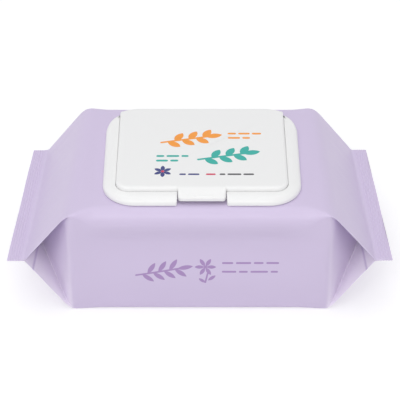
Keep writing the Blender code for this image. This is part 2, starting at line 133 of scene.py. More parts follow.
TAB_HALF_WIDTH = 0.0146
TAB_REACH = 0.0076
TAB_DROP = 0.0031
TAB_LIP = 0.0058
TAB_RADIUS = 0.0022
TAB_EDGE = 0.0006
GRIP_HALF_LENGTH = 0.00925
GRIP_RADIUS = 0.0006
GRIP_SETBACK = 0.0016
HINGE_Y = 0.0499
HINGE_Z = 0.0845
HINGE_HALF_WIDTH = 0.032

# The peel seal
PEEL_BOTTOM = 0.0793
PEEL_TOP = 0.0796
PEEL_HALF_WIDTH = 0.033
PEEL_HALF_DEPTH = 0.019
PEEL_RADIUS = 0.017
PULL_END = 0.0375
PULL_HALF_WIDTH = 0.006


# Camera, floor and light


def make_camera():
    """The photograph's view: the pack square on, from 38 degrees above the table."""
    camera = bpy.data.objects.new("camera", bpy.data.cameras.new("camera"))
    camera.data.sensor_fit = "HORIZONTAL"
    camera.data.sensor_width = 36.0
    camera.data.lens = 84.1
    camera.location = (0.0001, -0.4968, 0.4319)
    camera.rotation_euler = (math.radians(51.967), 0.0, 0.0)
    bpy.context.scene.collection.objects.link(camera)
    bpy.context.scene.camera = camera


def camera_sees(tree):
    """1 where the camera, a mirror or a glass looks straight at the surface."""
    path = tree.nodes.new("ShaderNodeLightPath")
    either = math_node(tree, "MAXIMUM", path.outputs["Is Camera Ray"], path.outputs["Is Glossy Ray"])
    return math_node(tree, "MAXIMUM", either, path.outputs["Is Transmission Ray"])


def make_world():
    world = bpy.data.worlds.new("studio_air")
    world.use_nodes = True
    tree = world.node_tree
    light = tree.nodes["Background"]
    light.inputs["Color"].default_value = (0.97, 0.98, 1.0, 1.0)
    light.inputs["Strength"].default_value = 0.56
    seen = tree.nodes.new("ShaderNodeBackground")
    seen.inputs["Color"].default_value = (1.0, 1.0, 1.0, 1.0)
    seen.inputs["Strength"].default_value = 1.0
    mixed = tree.nodes.new("ShaderNodeMixShader")
    tree.links.new(camera_sees(tree), mixed.inputs["Fac"])
    tree.links.new(light.outputs[0], mixed.inputs[1])
    tree.links.new(seen.outputs[0], mixed.inputs[2])
    tree.links.new(mixed.outputs[0], tree.nodes["World Output"].inputs["Surface"])
    bpy.context.scene.world = world


def make_floor():
    """A pale round floor that shows as white where it is lit and keeps the pack's soft shadow."""
    angle = np.linspace(0, 2 * math.pi, 97)[:-1]
    reach = np.array([0.25, 0.6, 1.4, 3.0])[:, None]
    ring = np.stack([reach * np.cos(angle), reach * np.sin(angle), 0 * reach * angle], axis=-1)
    floor = surface("floor", np.concatenate([0 * ring[:1], ring]), floor_finish(), ends="open")


def make_lamp(name, place, aim, size, power, colour):
    lamp = bpy.data.lights.new(name, "AREA")
    lamp.shape = "RECTANGLE"
    lamp.size, lamp.size_y = size
    lamp.energy = power
    lamp.color = colour
    obj = bpy.data.objects.new(name, lamp)
    way = np.array(aim) - np.array(place)
    flat = math.hypot(way[0], way[1])
    obj.rotation_euler = (math.atan2(flat, -way[2]), 0.0, math.atan2(-way[0], way[1]))
    obj.location = place
    bpy.context.scene.collection.objects.link(obj)


def make_lamps():
    make_lamp("front_lamp", (-0.25, -1.3, 1.30), (0, 0, 0.04), (1.6, 0.8), 8.5, (1.0, 0.99, 0.98))
    make_lamp("top_lamp", (-0.10, 0.1, 1.6), (0, 0, 0.04), (1.6, 1.6), 6.6, (1.0, 1.0, 1.0))
    for side in (-1, 1):
        make_lamp("side_lamp", (side * 1.2, -0.8, 0.35), (0, 0, 0.03), (0.7, 0.3), 1.7, (1.0, 1.0, 1.0))


# Node helpers


def math_node(tree, operation, first, second=None, third=None, clamp=False):
    node = tree.nodes.new("ShaderNodeMath")
    node.operation = operation
    node.use_clamp = clamp
    for socket, value in zip(node.inputs, (first, second, third)):
        connect(tree, value, socket)
    return node.outputs[0]


def connect(tree, value, socket):
    """Links a socket's output, or sets a plain value."""
    if value is None:
        return
    if isinstance(value, bpy.types.NodeSocket):
        tree.links.new(value, socket)
    else:
        socket.default_value = value


def mix_colour(tree, factor, first, second):
    node = tree.nodes.new("ShaderNodeMix")
    node.data_type = "RGBA"
    connect(tree, factor, node.inputs["Factor"])
    connect(tree, first, node.inputs[6])
    connect(tree, second, node.inputs[7])
    return node.outputs[2]


def ramp(tree, value, low, high, to_low=0.0, to_high=1.0):
    """A smooth step from to_low at low to to_high at high."""
    node = tree.nodes.new("ShaderNodeMapRange")
    node.interpolation_type = "SMOOTHSTEP"
    for name, given in (("Value", value), ("From Min", low), ("From Max", high),
                        ("To Min", to_low), ("To Max", to_high)):
        connect(tree, given, node.inputs[name])
    return node.outputs["Result"]


def noise(tree, vector, scale, detail=3.0, roughness=0.5):
    node = tree.nodes.new("ShaderNodeTexNoise")
    connect(tree, vector, node.inputs["Vector"])
    node.inputs["Scale"].default_value = scale
    node.inputs["Detail"].default_value = detail
    node.inputs["Roughness"].default_value = roughness
    return node.outputs["Fac"]


def stretched(tree, vector, scale):
    node = tree.nodes.new("ShaderNodeMapping")
    connect(tree, vector, node.inputs["Vector"])
    node.inputs["Scale"].default_value = scale
    return node.outputs["Vector"]


def place_of(tree):
    """The point's place in the object, and its three parts."""
    spot = tree.nodes.new("ShaderNodeTexCoord").outputs["Object"]
    parts = tree.nodes.new("ShaderNodeSeparateXYZ")
    tree.links.new(spot, parts.inputs[0])
    return spot, parts.outputs[0], parts.outputs[1], parts.outputs[2]


def plane_point(tree, across, up):
    node = tree.nodes.new("ShaderNodeCombineXYZ")
    connect(tree, across, node.inputs[0])
    connect(tree, up, node.inputs[1])
    return node.outputs[0]


def new_group(name, inputs, outputs):
    """A shader node group with named sockets, each given as (name, kind, value) or (name, kind)."""
    group = bpy.data.node_groups.new(name, "ShaderNodeTree")
    for label, kind, value in inputs:
        socket = group.interface.new_socket(label, in_out="INPUT", socket_type=kind)
        socket.default_value = value
    for label, kind in outputs:
        group.interface.new_socket(label, in_out="OUTPUT", socket_type=kind)
    into = group.nodes.new("NodeGroupInput")
    out = group.nodes.new("NodeGroupOutput")
    return group, into.outputs, out.inputs


def use_group(tree, group, **values):
    """Places a group in a material. Each value is named as its socket, with _ for a space."""
    node = tree.nodes.new("ShaderNodeGroup")
    node.node_tree = group
    for label, value in values.items():
        connect(tree, value, node.inputs[label.replace("_", " ").capitalize()])
    return node.outputs


def principled(name):
    """A material with its own Principled shader. Returns the material, its tree and the shader."""
    made = bpy.data.materials.new(name)
    made.use_nodes = True
    return made, made.node_tree, made.node_tree.nodes["Principled BSDF"]


def bump(tree, height, distance, strength=1.0):
    node = tree.nodes.new("ShaderNodeBump")
    node.inputs["Strength"].default_value = strength
    node.inputs["Distance"].default_value = distance
    connect(tree, height, node.inputs["Height"])
    return node.outputs["Normal"]


# Node groups


def turned_point(tree, point, centre, angle):
    """The point measured from a centre and turned back by an angle."""
    from_centre = tree.nodes.new("ShaderNodeVectorMath")
    from_centre.operation = "SUBTRACT"
    connect(tree, point, from_centre.inputs[0])
    connect(tree, centre, from_centre.inputs[1])
    turn = tree.nodes.new("ShaderNodeVectorRotate")
    turn.rotation_type = "Z_AXIS"
    connect(tree, from_centre.outputs[0], turn.inputs["Vector"])
    connect(tree, math_node(tree, "MULTIPLY", angle, -1.0), turn.inputs["Angle"])
    parts = tree.nodes.new("ShaderNodeSeparateXYZ")
    tree.links.new(turn.outputs[0], parts.inputs[0])
    along = math_node(tree, "ABSOLUTE", parts.outputs[0])
    across = math_node(tree, "ABSOLUTE", parts.outputs[1])
    return along, across


def length_of(tree, along, across):
    squares = math_node(tree, "ADD", math_node(tree, "MULTIPLY", along, along),
                        math_node(tree, "MULTIPLY", across, across))
    return math_node(tree, "SQRT", squares)


def make_bar_group():
    """A printed bar or dot: how far a point lies outside a rounded box, made 1 inside and 0 outside."""
    group, given, out = new_group("printed_bar", [
        ("Point", "NodeSocketVector", (0, 0, 0)), ("Centre", "NodeSocketVector", (0, 0, 0)),
        ("Angle", "NodeSocketFloat", 0.0), ("Half length", "NodeSocketFloat", 0.003),
        ("Half width", "NodeSocketFloat", 0.001), ("Soft edge", "NodeSocketFloat", 0.00012),
    ], [("Mask", "NodeSocketFloat")])
    along, across = turned_point(group, given["Point"], given["Centre"], given["Angle"])
    straight = math_node(group, "SUBTRACT", given["Half length"], given["Half width"])
    beyond = math_node(group, "MAXIMUM", math_node(group, "SUBTRACT", along, straight), 0.0)
    outside = math_node(group, "SUBTRACT", length_of(group, beyond, across), given["Half width"])
    group.links.new(ramp(group, outside, given["Soft edge"], 0.0), out["Mask"])
    return group


def make_leaf_group():
    """A printed leaf: where two equal circles overlap, made 1 inside and 0 outside."""
    group, given, out = new_group("printed_leaf", [
        ("Point", "NodeSocketVector", (0, 0, 0)), ("Centre", "NodeSocketVector", (0, 0, 0)),
        ("Angle", "NodeSocketFloat", 0.0), ("Circle radius", "NodeSocketFloat", 0.01),
        ("Half width", "NodeSocketFloat", 0.002), ("Soft edge", "NodeSocketFloat", 0.00012),
    ], [("Mask", "NodeSocketFloat")])
    along, across = turned_point(group, given["Point"], given["Centre"], given["Angle"])
    offset = math_node(group, "SUBTRACT", given["Circle radius"], given["Half width"])
    away = length_of(group, along, math_node(group, "ADD", across, offset))
    outside = math_node(group, "SUBTRACT", away, given["Circle radius"])
    group.links.new(ramp(group, outside, given["Soft edge"], 0.0), out["Mask"])
    return group


def make_film_group():
    """Thin film: long soft creases, a fine pebble, and a roughness and tint that drift a little."""
    group, given, out = new_group("thin_film", [
        ("Point", "NodeSocketVector", (0, 0, 0)), ("Roughness", "NodeSocketFloat", 0.4),
    ], [("Height", "NodeSocketFloat"), ("Roughness", "NodeSocketFloat"), ("Tint", "NodeSocketFloat")])
    spot = given["Point"]
    creases = noise(group, stretched(group, spot, (34.0, 70.0, 46.0)), 1.0, 4.0, 0.45)
    pebble = noise(group, spot, 1500.0, 2.0, 0.5)
    drift = noise(group, spot, 28.0, 2.0, 0.5)
    height = math_node(group, "MULTIPLY_ADD", pebble, 0.035, math_node(group, "MULTIPLY", creases, 0.9))
    group.links.new(height, out["Height"])
    rough = math_node(group, "MULTIPLY_ADD", drift, 0.12, -0.06)
    group.links.new(math_node(group, "ADD", given["Roughness"], rough), out["Roughness"])
    group.links.new(ramp(group, drift, 0.3, 0.7, 0.985, 1.012), out["Tint"])
    return group


def make_plastic_group():
    """Moulded plastic: a very fine spark-eroded grain, faint flow lines and a drifting gloss."""
    group, given, out = new_group("moulded_plastic", [
        ("Point", "NodeSocketVector", (0, 0, 0)), ("Roughness", "NodeSocketFloat", 0.3),
    ], [("Height", "NodeSocketFloat"), ("Roughness", "NodeSocketFloat")])
    spot = given["Point"]
    grain = noise(group, spot, 3200.0, 2.0, 0.6)
    flow = noise(group, stretched(group, spot, (12.0, 55.0, 30.0)), 1.0, 2.0, 0.5)
    group.links.new(math_node(group, "MULTIPLY_ADD", flow, 0.5, grain), out["Height"])
    rough = math_node(group, "MULTIPLY_ADD", noise(group, spot, 60.0), 0.10, -0.05)
    group.links.new(math_node(group, "ADD", given["Roughness"], rough), out["Roughness"])
    return group


# Printed marks, in millimetres: (kind, across, up, degrees, half length, half width)


def sprig(start, end, leaves, length, width, stem=0.45):
    """A straight stem with pairs of leaves that lean out from it, and one leaf at its tip."""
    start = np.array(start, dtype=float)
    way = np.array(end) - start
    reach = math.hypot(*way)
    turn = math.degrees(math.atan2(way[1], way[0]))
    middle = start + way / 2
    end_leaf = start + way * (1 + 0.75 * length / reach)
    marks = [("bar", *middle, turn, reach / 2, stem), ("leaf", *end_leaf, turn, length, width)]
    for i, share in enumerate(np.linspace(0.16, 0.9, leaves)):
        side = 1 if i % 2 else -1
        lean = math.radians(turn + side * 48)
        foot = start + way * share
        tip = foot + length * 0.92 * np.array([math.cos(lean), math.sin(lean)])
        marks.append(("leaf", *tip, turn + side * 48, length * 0.92, width))
    return marks


def bars(across, up, lengths, gap, width):
    """A row of short bars with round ends."""
    marks = []
    for length in lengths:
        marks.append(("bar", across + length / 2, up, 0.0, length / 2, width))
        across += length + gap
    return marks


def blossom(across, up, petals, length, width, turn=0.0):
    """Petals round a middle."""
    marks = []
    for i in range(petals):
        angle = turn + 360 * i / petals
        lean = math.radians(angle)
        marks.append(("leaf", across + 1.25 * length * math.cos(lean), up + 1.25 * length * math.sin(lean),
                      angle, length, width))
    return marks


LID_PRINT = [
    ((0.93, 0.33, 0.03, 1), sprig((-27, 7), (4, 14), 6, 5.4, 2.5, 0.8)
     + bars(17, 17.5, (5.5, 7.5, 6.0), 1.5, 0.95) + bars(17, 12.5, (8.0, 5.0), 1.5, 0.95)),
    ((0.02, 0.42, 0.36, 1), sprig((-3, -12), (28, -5), 6, 5.4, 2.5, 0.8)
     + bars(-29, -8.0, (5.0, 8.0, 4.5), 1.5, 0.95) + bars(-29, -13.0, (7.5, 5.0), 1.5, 0.95)),
    ((0.03, 0.04, 0.20, 1), blossom(-24.5, -24.5, 6, 2.6, 1.3, 30) + bars(-14, -27.5, (4.0, 7.0), 1.4, 0.75)),
    ((0.62, 0.03, 0.10, 1), bars(2.5, -27.5, (6.0,), 1.4, 0.75) + [("bar", -24.5, -24.5, 0, 1.0, 0.98)]),
    ((0.07, 0.07, 0.08, 1), bars(11, -27.5, (3.5, 8.5, 6.5), 1.4, 0.75)),
]

FRONT_PRINT = [
    ((0.400, 0.262, 0.520, 1), sprig((-41, 29), (-13, 34), 7, 5.0, 1.5, 0.55)
     + blossom(3.5, 35, 6, 3.0, 1.2) + [("bar", 3.5, 35, 0, 1.1, 1.08)]
     + [("bar", 4.3, 27.0, 78, 4.6, 0.5)]
     + [("leaf", 7.6, 26.6, 40, 3.0, 1.1), ("leaf", 1.4, 24.6, 140, 2.6, 1.0)]
     + bars(14, 38, (7.0, 9.5, 6.0, 8.0), 1.8, 0.65) + bars(14, 31.5, (9.0, 5.5, 11.0, 4.5), 1.8, 0.65)),
]


def printed(tree, point, base, inks, limit):
    """Lays each ink over the base colour where one of its marks is and the limit allows it."""
    for colour, marks in inks:
        mask = None
        for kind, across, up, degrees, half_length, half_width in marks:
            values = dict(point=point, centre=(across / 1000, up / 1000, 0.0), angle=math.radians(degrees),
                          half_width=half_width / 1000)
            if kind == "leaf":
                radius = (half_length**2 + half_width**2) / (2 * half_width)
                made = use_group(tree, LEAF, circle_radius=radius / 1000, **values)
            else:
                made = use_group(tree, BAR, half_length=half_length / 1000, **values)
            mask = made["Mask"] if mask is None else math_node(tree, "MAXIMUM", mask, made["Mask"])
        base = mix_colour(tree, math_node(tree, "MULTIPLY", mask, limit), base, colour)
    return base


# Finishes


def floor_finish():
    made, tree, shader = principled("pale_floor")
    shader.inputs["Base Color"].default_value = (0.80, 0.80, 0.80, 1.0)
    shader.inputs["Roughness"].default_value = 0.9
    shader.inputs["Specular IOR Level"].default_value = 0.0
    glow = tree.nodes.new("ShaderNodeEmission")
    glow.inputs["Color"].default_value = (1.0, 1.0, 1.0, 1.0)
    tree.links.new(math_node(tree, "MULTIPLY", camera_sees(tree), 0.34), glow.inputs["Strength"])
    added = tree.nodes.new("ShaderNodeAddShader")
    tree.links.new(shader.outputs[0], added.inputs[0])
    tree.links.new(glow.outputs[0], added.inputs[1])
    tree.links.new(added.outputs[0], tree.nodes["Material Output"].inputs["Surface"])
    return made


def film_finish():
    """Satin lavender film, printed in front and ribbed on its back seam.

    Its colour is made lighter along its sharp folds and the face's end lines, as a painted highlight,
    and on the tucked panels and lower flaps, as painted light for light coming through the thin film.
    """
    made, tree, shader = principled("lavender_film")
    spot, across, back, up = place_of(tree)
    film = use_group(tree, FILM, point=spot, roughness=0.40)
    base = mix_colour(tree, film["Tint"], (0.60, 0.51, 0.71, 1), (0.655, 0.565, 0.765, 1))
    # painted highlight: the film's colour made lighter along its fold lines and the face's end lines
    crease_highlight = tree.nodes.new("ShaderNodeAttribute")
    crease_highlight.attribute_name = "crease_highlight"
    painted_highlight = math_node(tree, "MULTIPLY", crease_highlight.outputs["Fac"], 0.55)
    base = mix_colour(tree, painted_highlight, base, (0.83, 0.76, 0.90, 1))
    # painted light: the tucked panels and lower flaps coloured lighter, for light coming through the thin
    # film into the folds
    through = tree.nodes.new("ShaderNodeAttribute")
    through.attribute_name = "painted_light_through"
    base = mix_colour(tree, through.outputs["Fac"], base, (0.94, 0.88, 0.98, 1))
    in_front = ramp(tree, back, -0.054, -0.056)
    base = printed(tree, plane_point(tree, across, up), base, FRONT_PRINT, in_front)
    tree.links.new(base, shader.inputs["Base Color"])
    tree.links.new(film["Roughness"], shader.inputs["Roughness"])
    ribs = math_node(tree, "SINE", math_node(tree, "MULTIPLY", across, 2 * math.pi / 0.0016))
    on_seam = math_node(tree, "MULTIPLY", ramp(tree, math_node(tree, "ABSOLUTE", back), 0.0056, 0.0050),
                        ramp(tree, up, 0.0020, 0.0012))
    height = math_node(tree, "MULTIPLY_ADD", math_node(tree, "MULTIPLY", ribs, on_seam), 0.25, film["Height"])
    tree.links.new(bump(tree, height, 0.0004), shader.inputs["Normal"])
    return made


def cap_finish(name, with_print=False):
    """White moulded plastic with a soft gloss."""
    made, tree, shader = principled(name)
    spot, across, back, up = place_of(tree)
    plastic = use_group(tree, PLASTIC, point=spot, roughness=0.30)
    white = (0.88, 0.88, 0.875, 1)
    if with_print:
        point = plane_point(tree, math_node(tree, "SUBTRACT", across, float(CAP_PLACE[0])),
                            math_node(tree, "SUBTRACT", back, float(CAP_PLACE[1])))
        on_top = ramp(tree, up, COVER_TOP - 0.0006, COVER_TOP - 0.0004)
        tree.links.new(printed(tree, point, white, LID_PRINT, on_top), shader.inputs["Base Color"])
    else:
        faint = noise(tree, spot, 45.0, 2.0)
        tree.links.new(mix_colour(tree, faint, white, (0.895, 0.895, 0.89, 1)), shader.inputs["Base Color"])
    tree.links.new(plastic["Roughness"], shader.inputs["Roughness"])
    tree.links.new(bump(tree, plastic["Height"], 0.00002, 0.6), shader.inputs["Normal"])
    return made


def peel_finish():
    """Pale smooth film with an oval line where it covers the cut, and a ribbed pull tongue."""
    made, tree, shader = principled("peel_seal_film")
    spot, across, back, up = place_of(tree)
    film = use_group(tree, FILM, point=spot, roughness=0.28)
    point = plane_point(tree, math_node(tree, "SUBTRACT", across, float(CAP_PLACE[0])),
                        math_node(tree, "SUBTRACT", back, float(CAP_PLACE[1])))
    middle = dict(point=point, centre=(0, 0, 0), angle=0.0)
    outer = use_group(tree, BAR, half_length=0.0265, half_width=0.0130, **middle)
    inner = use_group(tree, BAR, half_length=0.0262, half_width=0.0127, **middle)
    line = math_node(tree, "SUBTRACT", outer["Mask"], inner["Mask"])
    base = mix_colour(tree, line, (0.78, 0.74, 0.86, 1), (0.52, 0.44, 0.62, 1))
    tree.links.new(base, shader.inputs["Base Color"])
    tree.links.new(film["Roughness"], shader.inputs["Roughness"])
    on_tongue = ramp(tree, across, 0.0343, 0.0350)
    ribs = math_node(tree, "SINE", math_node(tree, "MULTIPLY", across, 2 * math.pi / 0.0009))
    tongue_ribs = math_node(tree, "MULTIPLY", ribs, on_tongue)
    height = math_node(tree, "MULTIPLY_ADD", tongue_ribs, 0.4, film["Height"])
    tree.links.new(bump(tree, height, 0.0002), shader.inputs["Normal"])
    return made


# Surfaces


def surface(name, rings, finish, ends="fan", smooth_angle=38.0):
    """A mesh through closed rings of points, in one grid of rings by points.

    ends is "fan" to close the first and last ring to their middles, "loop" to join the last ring to
    the first, or "open".
    """
    rings = np.asarray(rings, dtype=float)
    count, size = rings.shape[:2]
    verts = rings.reshape(-1, 3)
    index = np.arange(count * size).reshape(count, size)
    if ends == "loop":
        index = np.vstack([index, index[:1]])
    after = np.roll(index, -1, axis=1)
    quads = np.stack([index[:-1], after[:-1], after[1:], index[1:]], axis=-1).reshape(-1, 4)
    faces = quads.tolist()
    if ends == "fan":
        verts = np.vstack([verts, rings[0].mean(axis=0), rings[-1].mean(axis=0)])
        for edge, middle, step in ((index[0], len(verts) - 2, 1), (index[-1], len(verts) - 1, -1)):
            pair = np.stack([np.roll(edge, -step), edge, np.full(size, middle)], axis=-1)
            faces += pair.tolist()
    mesh = bpy.data.meshes.new(name)
    mesh.from_pydata(verts.tolist(), [], faces)
    return finished(bpy.data.objects.new(name, mesh), finish, smooth_angle)


def finished(obj, finish, smooth_angle=38.0):
    """Merges doubles, turns the faces outwards, smooths them up to an angle and gives the finish."""
    shape = bmesh.new()
    shape.from_mesh(obj.data)
    bmesh.ops.remove_doubles(shape, verts=shape.verts, dist=2e-6)
    bmesh.ops.dissolve_degenerate(shape, edges=shape.edges, dist=1e-7)
    bmesh.ops.recalc_face_normals(shape, faces=shape.faces)
    shape.to_mesh(obj.data)
    shape.free()
    obj.data.shade_smooth()
    obj.data.set_sharp_from_angle(angle=math.radians(smooth_angle))
    obj.data.materials.clear()
    obj.data.materials.append(finish)
    if obj.name not in bpy.context.scene.collection.objects:
        bpy.context.scene.collection.objects.link(obj)
    return obj


def combined(target, other, operation, finish, smooth_angle=38.0):
    """The target cut by, or joined with, another closed mesh, which is then removed."""
    modifier = target.modifiers.new(operation.lower(), "BOOLEAN")
    modifier.operation = operation
    modifier.solver = "EXACT"
    modifier.object = other
    graph = bpy.context.evaluated_depsgraph_get()
    mesh = bpy.data.meshes.new_from_object(target.evaluated_get(graph))
    target.modifiers.clear()
    target.data = mesh
    bpy.data.objects.remove(other, do_unlink=True)
    return finished(target, finish, smooth_angle)


def smooth(share):
    share = np.clip(share, 0.0, 1.0)
    return share * share * (3 - 2 * share)


# The film pack


def soft_ramp(x, start, radius):
    """0 before start and x - start after it, with the corner rounded over radius on each side."""
    share = np.clip((x - start + radius) / (2 * radius), 0.0, 1.0)
    return radius * share * share + np.maximum(x - start - radius, 0.0)


def slope_share(x, edge, radius):
    """How far x is along an end slope that begins at edge, from 0 there to 1 at the seal."""
    run = soft_ramp(x, edge, radius) - soft_ramp(x, SEAL_START, SEAL_THICKNESS)
    return run / (SEAL_START - edge)


def fold_depth(x, edge):
    """How far the side panel is tucked in behind the slopes: half the pack's height at the seal."""
    tucked = soft_ramp(x, edge, CREASE_RADIUS) / (SEAL_START - edge)
    pressed_shut = smooth((x - SEAL_START + SEAL_CLOSE_RUN) / SEAL_CLOSE_RUN)
    return PACK_HEIGHT / 2 * tucked * (1 - pressed_shut)


def bend_radius(x, along_body, opening):
    """Radius of a bend in the film: its own along the body, and as thin as a flap at the folds."""
    into_fold = smooth((x - TOP_EDGE + FLAP_START) / FLAP_RUN)
    radius = along_body + (FLAP_THICKNESS - along_body) * into_fold
    return np.minimum(radius, (opening - FLAP_SLACK) / 4)


def folded_corner(tuck, radius, points=(10, 12, 8)):
    """The film round one corner, as distances outwards along the panel and down from it.

    The path turns half a turn back under the panel over pi/2 radii, runs in by the tuck, and turns a
    quarter turn down over the last pi/2 radii. Its heading is summed along it, for all sections at
    once, and read off at points spread over the two bends and the run between them.
    """
    tuck = tuck[:, None]
    spread = math.pi / 2 * radius[:, None]
    length = spread + tuck
    walked = np.linspace(0.0, 1.0, BEND_STEPS) * length
    heading = math.pi * np.clip(walked / spread, 0, 1)
    heading -= math.pi / 2 * np.clip((walked - tuck) / spread, 0, 1)
    step = length / (BEND_STEPS - 1)
    middle = (heading[:, 1:] + heading[:, :-1]) / 2
    start = np.zeros((len(tuck), 1))
    out = np.hstack([start, np.cumsum(np.cos(middle) * step, axis=1)])
    down = np.hstack([start, np.cumsum(np.sin(middle) * step, axis=1)])
    first = np.minimum(spread, length * points[0] / sum(points))
    last = np.minimum(spread, length * points[2] / sum(points))
    shares = [np.linspace(0, 1, n + 1)[1:] for n in points]
    chosen = np.hstack([start, first * shares[0], first + (length - first - last) * shares[1],
                        length - last * (1 - shares[2])])
    place = np.clip(chosen / step, 0, BEND_STEPS - 1.001)
    before = place.astype(int)
    part = place - before
    read = lambda line: (np.take_along_axis(line, before, 1) * (1 - part)
                         + np.take_along_axis(line, before + 1, 1) * part)
    return read(out), read(down), out.max(axis=1)[:, None]


def ribs(x):
    """The crimp of the end seal: waves across it that fade at both of its edges."""
    inside = smooth((x - SEAL_START - RIB_START) / 0.0005) * (1 - smooth((x - PACK_END + 0.0009) / 0.0006))
    return RIB_HEIGHT * inside * np.sin(2 * math.pi * (x - SEAL_START - RIB_START) / RIB_PITCH)


def waist(height, x):
    """How far the front and back draw in at a height, fading out towards the ends."""
    from_middle = height - WAIST_HEIGHT
    run = np.where(from_middle > 0, WAIST_ABOVE, WAIST_BELOW)
    hollow = np.cos(math.pi / 2 * np.clip(from_middle / run, -1, 1)) ** 2
    return WAIST_DEPTH * hollow * (1 - smooth((x - TOP_EDGE + 0.0299) / 0.0299))


def seam_relief(y, x):
    """Lift of the bottom film over the back seam and its valley, fading out before the seal."""
    away = np.abs(y)
    valley = VALLEY_DEPTH * (1 - smooth((away - SEAM_HALF_WIDTH) / (VALLEY_HALF_WIDTH - SEAM_HALF_WIDTH)))
    lift = np.where(away <= SEAM_HALF_WIDTH + 1e-6, SEAM_LIFT, valley)
    return lift * (1 - smooth((x - SEAL_START + SEAM_END) / SEAM_FADE))


def half_sections(x, upper_radius):
    """The front half of every section, from the middle of the top to the middle of the bottom.

    Top and bottom are level lines at the slopes' heights, the corners are folded corners, and the
    face runs straight between them. Returns (stations, points, 2), and for each point how much painted
    highlight it gets on a crease or the face's end line, and how much painted light it gets for light
    coming through the film there.
    """
    fall = PACK_HEIGHT - SEAL_HEIGHT - SEAL_THICKNESS / 2
    rise = SEAL_HEIGHT - SEAL_THICKNESS / 2
    top = PACK_HEIGHT - fall * slope_share(x, TOP_EDGE, TOP_END_RADIUS) + ribs(x)
    bottom = rise * slope_share(x, BASE_EDGE, BASE_END_RADIUS) + ribs(x)
    corners = []
    for edge, radius in ((TOP_EDGE, upper_radius), (BASE_EDGE, LOWER_EDGE_RADIUS)):
        out, down, reach = folded_corner(fold_depth(x, edge), bend_radius(x, radius, top - bottom))
        corners.append((-HALF_DEPTH + reach - out, down))
    upper = np.stack([corners[0][0], top[:, None] - corners[0][1]], axis=-1)
    lower = np.stack([corners[1][0], bottom[:, None] + corners[1][1]], axis=-1)[:, ::-1]

    shares = np.linspace(0, 1, 27)[:-1]
    top_run = np.stack([shares * upper[:, :1, 0], np.broadcast_to(top[:, None], (len(x), 26))], axis=-1)
    shares = np.linspace(0, 1, 30)[1:-1, None]
    face = upper[:, -1:] + shares * (lower[:, :1] - upper[:, -1:])
    seam = -np.array([VALLEY_HALF_WIDTH, 0.0135, 0.011, 0.0085, SEAM_HALF_WIDTH + SEAM_STEP,
                      SEAM_HALF_WIDTH, 0.00275, 0.0])
    outer = np.linspace(0.95, 0.32, 12) * lower[:, -1:, 0]
    across = np.hstack([outer, np.broadcast_to(seam, (len(x), len(seam)))])
    bottom_run = np.stack([across, bottom[:, None] + seam_relief(across, x[:, None])], axis=-1)

    section = np.concatenate([top_run, upper, face, lower, bottom_run], axis=1)
    sides = slice(top_run.shape[1], -bottom_run.shape[1])
    section[:, sides, 0] += waist(section[:, sides, 1], x[:, None])
    # painted highlight: the fold lines, and a soft band along the face's end lines, where the film is
    # coloured lighter
    crease_highlight = np.zeros(section.shape[:2])
    folded = smooth((x - TOP_EDGE - 0.001) / 0.004)
    at = top_run.shape[1]
    crease_highlight[:, at + 4:at + 8] = folded[:, None] * np.array([0.5, 1.0, 1.0, 0.5])
    at += upper.shape[1]
    on_face = slice(at, at + face.shape[1])
    end_line = BASE_EDGE + (TOP_EDGE - BASE_EDGE) * section[:, on_face, 1] / PACK_HEIGHT
    crease_highlight[:, on_face] = EDGE_SHINE * np.exp(-((x[:, None] - end_line) / EDGE_SHINE_WIDTH) ** 2)
    at += face.shape[1]
    crease_highlight[:, at:at + 5] = folded[:, None] * np.array([0.4, 0.8, 1.0, 0.8, 0.4])

    # painted light: how much the tucked panels and lower flaps are coloured lighter, growing towards the
    # bottom of the folds
    through = np.zeros(section.shape[:2])
    lower_face = np.linspace(0.0, 0.6, face.shape[1]) ** 1.5
    through[:, on_face] = folded[:, None] * lower_face
    through[:, at:at + 20] = folded[:, None] * np.linspace(0.6, 0.95, 20)
    through[:, at + 20:at + 27] = folded[:, None] * 0.9
    return section, crease_highlight, through


def stations():
    """Places along half the pack: wide apart on the body, close on the folds and across the ribs."""
    runs = [(0.0, 0.050, 22), (0.050, 0.072, 14), (0.072, 0.092, 26), (0.092, 0.1075, 20),
            (0.1075, SEAL_START + RIB_START, 16), (SEAL_START + RIB_START, PACK_END, 48)]
    return np.concatenate([np.linspace(a, b, n + 1)[:-1] for a, b, n in runs] + [[PACK_END]])


def settle(points):
    """Small unevenness of a soft pack. It moves both films of a flap together.

    The slopes get pleats that run up from the seals, the faces shallow dents, and the seals a
    slight wave. Each is a sum of sines of the place, faded out where the cap and the table touch.
    """
    x, y, z = points[..., 0].copy(), points[..., 1].copy(), points[..., 2].copy()
    away = np.abs(x)
    side = np.sign(x)
    on_slope = smooth((away - 0.084) / 0.014) * (1 - smooth((away - 0.107) / 0.0035))
    pleat = (np.sin(y * 410 + side * 1.3) + 0.7 * np.sin(y * 655 + side * 2.1 + away * 30)
             + 0.5 * np.sin(y * 233 - side * 0.6))
    upper = smooth((z / np.maximum(0.02, PACK_HEIGHT) - 0.30) / 0.3)
    points[..., 2] += 0.00016 * on_slope * pleat * upper
    points[..., 2] -= 0.0006 * on_slope * np.cos(math.pi * y / 0.13) ** 2 * upper
    wave = smooth((away - SEAL_START) / 0.004)
    points[..., 2] += 0.00035 * wave * np.sin(y * 95 + side * 0.8)
    in_face = smooth((np.abs(y) - 0.052) / 0.004) * smooth(z / 0.012) * (1 - smooth((z - 0.060) / 0.012))
    in_face *= 1 - smooth((away - 0.070) / 0.010)
    dent = (0.5 + 0.25 * np.sin(x * 52 + 0.9) + 0.15 * np.sin(x * 117 + z * 60)
            + 0.1 * np.sin(z * 160 + x * 21))
    points[..., 1] -= np.sign(y) * 0.0006 * in_face * dent
    return points


